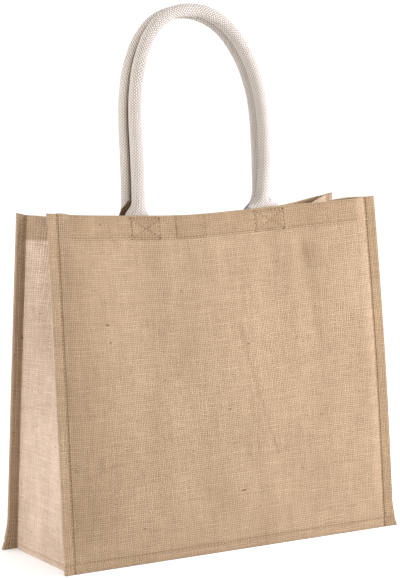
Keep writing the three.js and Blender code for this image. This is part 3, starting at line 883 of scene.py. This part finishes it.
def leg_of(handle, side, face_y, mouth):
    """The stations of one leg, from its sewn end up to the arch."""
    foot = handle["feet"][side]
    high = np.linspace(LEG_ROWS["high_start"], handle["arch_foot"] - mouth[2] - 1, LEG_ROWS["high_count"])
    made = []
    for rise in np.concatenate([np.linspace(*LEG_ROWS["low"]), high]):
        point = over_foot(handle, side, rise, face_y)
        point[0] = mix(point[0], handle["legs"][side], float(smooth(rise, 0, LEG_BLEND)))
        roll = float(smooth(rise, -foot["below"], foot["above"]))
        made.append(dict(point=point, rise=rise, side=side, roll=roll, free=float(smooth(rise, *FREE))))
    return made


def arch_of(handle, mouths):
    left, right = handle["legs"]
    middle, half = (left + right) / 2, (right - left) / 2
    power = 2 / handle["bend"]
    made = []
    for step in range(ARCH_STEPS + 1):
        angle = math.pi * (1 - step / ARCH_STEPS)
        x = middle + math.copysign(half * abs(math.cos(angle)) ** power, math.cos(angle))
        z = handle["arch_foot"] + (handle["top"] - handle["arch_foot"]) * max(0.0, math.sin(angle)) ** power
        mouth = mix(mouths[0], mouths[1], (x - left) / (2 * half))
        point = np.array([x, mouth[1] + lean_above(handle, z - mouth[2]), z])
        made.append(dict(point=point, rise=math.inf, side=0, roll=1.0, free=1.0))
    return made


def spine(handle):
    """Middle line of a handle's webbing, with where it is rolled and where it lies on the hem."""
    face_y = handle["face"] * (HALF_DEPTH - 2 * CLOTH - GAP - WEBBING["thick"] / 2)
    mouths = [stand(foot["x"], face_y, HEIGHT) for foot in handle["feet"]]
    left, right = (leg_of(handle, side, face_y, mouths[side]) for side in (0, 1))
    stations = left + arch_of(handle, mouths) + right[::-1]
    points = np.array([s["point"] for s in stations])
    ahead = np.vstack([points[1:], points[-1:]]) - np.vstack([points[:1], points[:-1]])
    ahead /= np.linalg.norm(ahead, axis=1, keepdims=True)
    inward = np.tile([0.0, -handle["face"], 0.0], (len(points), 1))
    inward -= ahead * (inward * ahead).sum(1, keepdims=True)
    inward /= np.linalg.norm(inward, axis=1, keepdims=True)
    across = np.cross(ahead, inward)
    return stations, points, inward, across, face_y


def handle_piece(name, handle, material):
    stations, points, inward, across, face_y = spine(handle)
    width, steps = WEBBING["width"], STRAP["steps"]
    closed = 2 * math.pi - WEBBING["seam_gap"] * 2 * math.pi / width
    length = reach_of(points)
    rings = []
    for index, station in enumerate(stations):
        turn = max(LEAST_CURL, closed * station["roll"])
        radius = width / turn
        outer, inner = [], []
        uneven = STRAP["uneven"] * math.sin(length[index] / STRAP["wave"])
        uneven = uneven * math.sin(length[index] / STRAP["slow_wave"] + 1) * station["roll"]
        for step in range(steps + 1):
            part = step / steps
            angle = turn * (part - 0.5)
            edge = 1 - line(STRAP, "thin_edge", min(part, 1 - part) * width)
            for side, sign in ((outer, 1), (inner, -1)):
                ring_radius = radius + uneven + sign * WEBBING["thick"] / 2 * edge
                reach = ring_radius * math.sin(angle)
                lift = radius - ring_radius * math.cos(angle)
                point = points[index] + across[index] * reach
                if station["free"] < 1:
                    sign_x = math.copysign(1, across[index][0])
                    held = over_foot(handle, station["side"], station["rise"], face_y, reach * sign_x)
                    point = mix(point, held, 1 - station["free"])
                side.append(point + inward[index] * lift)
        rings.append(outer + inner[::-1])
    part = np.linspace(-0.5, 0.5, steps + 1) * width
    round_u = np.concatenate([part, part[::-1] + width + 2, [width * 1.5 + 4]])
    rolled = np.array([station["roll"] for station in stations])[:, None]
    # Painted shade along the webbing's edges, by its seam, where it is rolled
    edges = line(STRAP, "edge_shade", width / 2 - np.abs(part))
    shade = rolled * np.concatenate([edges, edges[::-1]])[None, :]
    return ring_mesh(name, np.array(rings), round_u[None, :], length[:, None], material, shade)


def core_piece(name, handle, material, fan=None):
    """The cord inside a handle. With a fan, its left end spreads out flat in front of the open webbing."""
    stations, points, inward, across, _ = spine(handle)
    radius = WEBBING["width"] / (2 * math.pi)
    sides = ROPE_FORM["sides"]

    def in_fan(station, lowest, highest):
        return fan and station["side"] == 0 and lowest < station["rise"] < highest

    keep = [i for i, s in enumerate(stations) if s["roll"] >= 0.5 or in_fan(s, *CORD_FAN["along"])]
    length, last = 0.0, None
    rings, reach = [], []
    for index in keep:
        rise = stations[index]["rise"]
        end = min(index - keep[0], keep[-1] - index)
        tip = 1 - ROPE_FORM["tip"] + ROPE_FORM["tip"] * min(1.0, end / ROPE_FORM["tip_rings"])
        centre = points[index] + inward[index] * radius
        spread = 0.0
        if in_fan(stations[index], -math.inf, CORD_FAN["starts"]):
            spread = float(smooth(fan["starts"] - rise, 0, fan["blend"]))
            half = float(np.interp(rise, *fan["half_width"]))
            centre = mix(centre, points[index] + inward[index] * fan["lift"], spread)
        if last is not None:
            length += np.linalg.norm(centre - last)
        last = centre
        ring = []
        for turn in range(sides):
            angle = 2 * math.pi * turn / sides
            strand = abs(math.cos(ROPE_FORM["strands"] * (angle - 2 * math.pi * length / ROPE_FORM["lay"])))
            wide = deep = CORE_RADIUS * tip * (1 - ROPE_FORM["groove"] + ROPE_FORM["groove"] * strand)
            if spread:
                wide, deep = mix(wide, half, spread), mix(deep, fan["half_thick"], spread)
            off = across[index] * wide * math.cos(angle)
            ring.append(centre + off + inward[index] * deep * math.sin(angle))
        rings.append(ring)
        reach.append(length)
    around = np.arange(sides + 1) * ROPE_FORM["around"] / sides
    return ring_mesh(name, np.array(rings), around[None, :], np.array(reach)[:, None], material)


def settle(piece, extras=()):
    for part in (piece, *extras):
        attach(part, "root")


front, front_extras = panel_piece("front_cloth", -1, JUTE)
back, back_extras = panel_piece("back_cloth", 1, JUTE)
left, left_extras = gusset_piece("left_gusset_cloth", -1, JUTE_SIDE_PAINTED_LIGHTER)
right, right_extras = gusset_piece("right_gusset_cloth", 1, JUTE_SIDE_PAINTED_LIGHTER)
base = base_piece("base_cloth", JUTE_SIDE_PAINTED_LIGHTER)
front_strap = handle_piece("front_webbing", HANDLES["front"], COTTON)
rear_strap = handle_piece("rear_webbing", HANDLES["rear"], COTTON)
front_core = core_piece("front_cord", HANDLES["front"], ROPE_WITH_PAINTED_SHADE)
rear_core = core_piece("rear_cord", HANDLES["rear"], ROPE_WITH_PAINTED_SHADE, CORD_FAN)

settle(front, front_extras)
settle(back, back_extras)
settle(left, left_extras)
settle(right, right_extras)
settle(base)
for piece in (front_strap, rear_strap):
    settle(piece)
for piece in (front_core, rear_core):
    settle(piece)

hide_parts("front_panel")
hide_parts("back_panel")
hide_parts("left_gusset")
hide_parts("right_gusset")
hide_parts("base_panel")
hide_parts("front_handle")
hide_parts("rear_handle")
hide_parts("front_handle_core")
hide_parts("rear_handle_core")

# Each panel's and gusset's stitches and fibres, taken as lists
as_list(front_extras)
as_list(back_extras)
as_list(left_extras)
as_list(right_extras)

# Plain pale floor, in metres from here on
FLOOR_REACH, FLOOR_DROP = 40, 0.0002
floor_mesh = bpy.data.meshes.new("floor")
floor_corners = [(x * FLOOR_REACH, y * FLOOR_REACH, 0) for x, y in ((-1, -1), (1, -1), (1, 1), (-1, 1))]
floor_mesh.from_pydata(floor_corners, [], [(0, 1, 2, 3)])
floor_stuff = bpy.data.materials.new("pale_floor")
floor_stuff.use_nodes = True
set_inputs(floor_stuff.node_tree.nodes["Principled BSDF"], FLOOR_EVEN)
floor_mesh.materials.append(floor_stuff)
floor = add_object("floor", floor_mesh)
floor.location.z = -FLOOR_DROP

# The white sky is brightest high up behind the bag, and dimmer behind the camera
BRIGHT_SIDE = (0.35, 0.57, 0.74)
SKY_RANGE = (-0.6, 0.6, 0.62, 1.34)  # from and to along the bright side, then from and to in strength
world = bpy.data.worlds.new("studio")
world.use_nodes = True
sky = world.node_tree
toward = sky.nodes.new("ShaderNodeVectorMath")
toward.operation = "DOT_PRODUCT"
toward.inputs[1].default_value = BRIGHT_SIDE
sky.links.new(sky.nodes.new("ShaderNodeTexCoord").outputs["Generated"], toward.inputs[0])
glow = sky.nodes.new("ShaderNodeMapRange")
for socket, value in zip(glow.inputs[1:5], SKY_RANGE):
    socket.default_value = value
sky.links.new(toward.outputs["Value"], glow.inputs[0])
sky.links.new(glow.outputs[0], sky.nodes["Background"].inputs["Strength"])
sky.nodes["Background"].inputs["Color"].default_value = (1, 1, 1, 1)
bpy.context.scene.world = world
bpy.context.scene.view_settings.view_transform = "Standard"


# Two soft lamps
def area_light(name, place, target, size, power, colour=(1, 1, 1)):
    light = bpy.data.lights.new(name, "AREA")
    light.shape = "DISK"
    light.size = size
    light.energy = power
    light.color = colour
    lamp = add_object(name, light)
    lamp.location = place
    x, y, z = np.array(target) - np.array(place)
    lamp.rotation_euler = (math.atan2(math.hypot(x, y), -z), 0, math.atan2(y, x) - math.pi / 2)
    lamp.visible_camera = False


area_light("key_left", (-2.4, 0.05, 0.75), target=(0, 0, 0.25), size=0.5, power=31)
area_light("key_right", (0.75, -0.55, 0.62), target=(0, 0, 0.2), size=0.4, power=12.5,
           colour=(0.94, 0.98, 1.07))

# The camera that took the photo, fitted to the bag's corners
SENSOR, FOCAL_PIXELS, PHOTO_PIXELS = 36, 2109.33, 578
LOOKS_DOWN, TURNED, FARTHEST = 7.309, -31.7598, 200
camera_data = bpy.data.cameras.new("photo_camera")
camera_data.sensor_fit = "VERTICAL"
camera_data.sensor_height = SENSOR
camera_data.lens = FOCAL_PIXELS / PHOTO_PIXELS * SENSOR
camera_data.clip_end = FARTHEST
camera = add_object("photo_camera", camera_data)
camera.location = (-1.2045, -1.9362, 0.5687)
camera.rotation_euler = (math.radians(90 - LOOKS_DOWN), 0, math.radians(TURNED))
bpy.context.scene.camera = camera
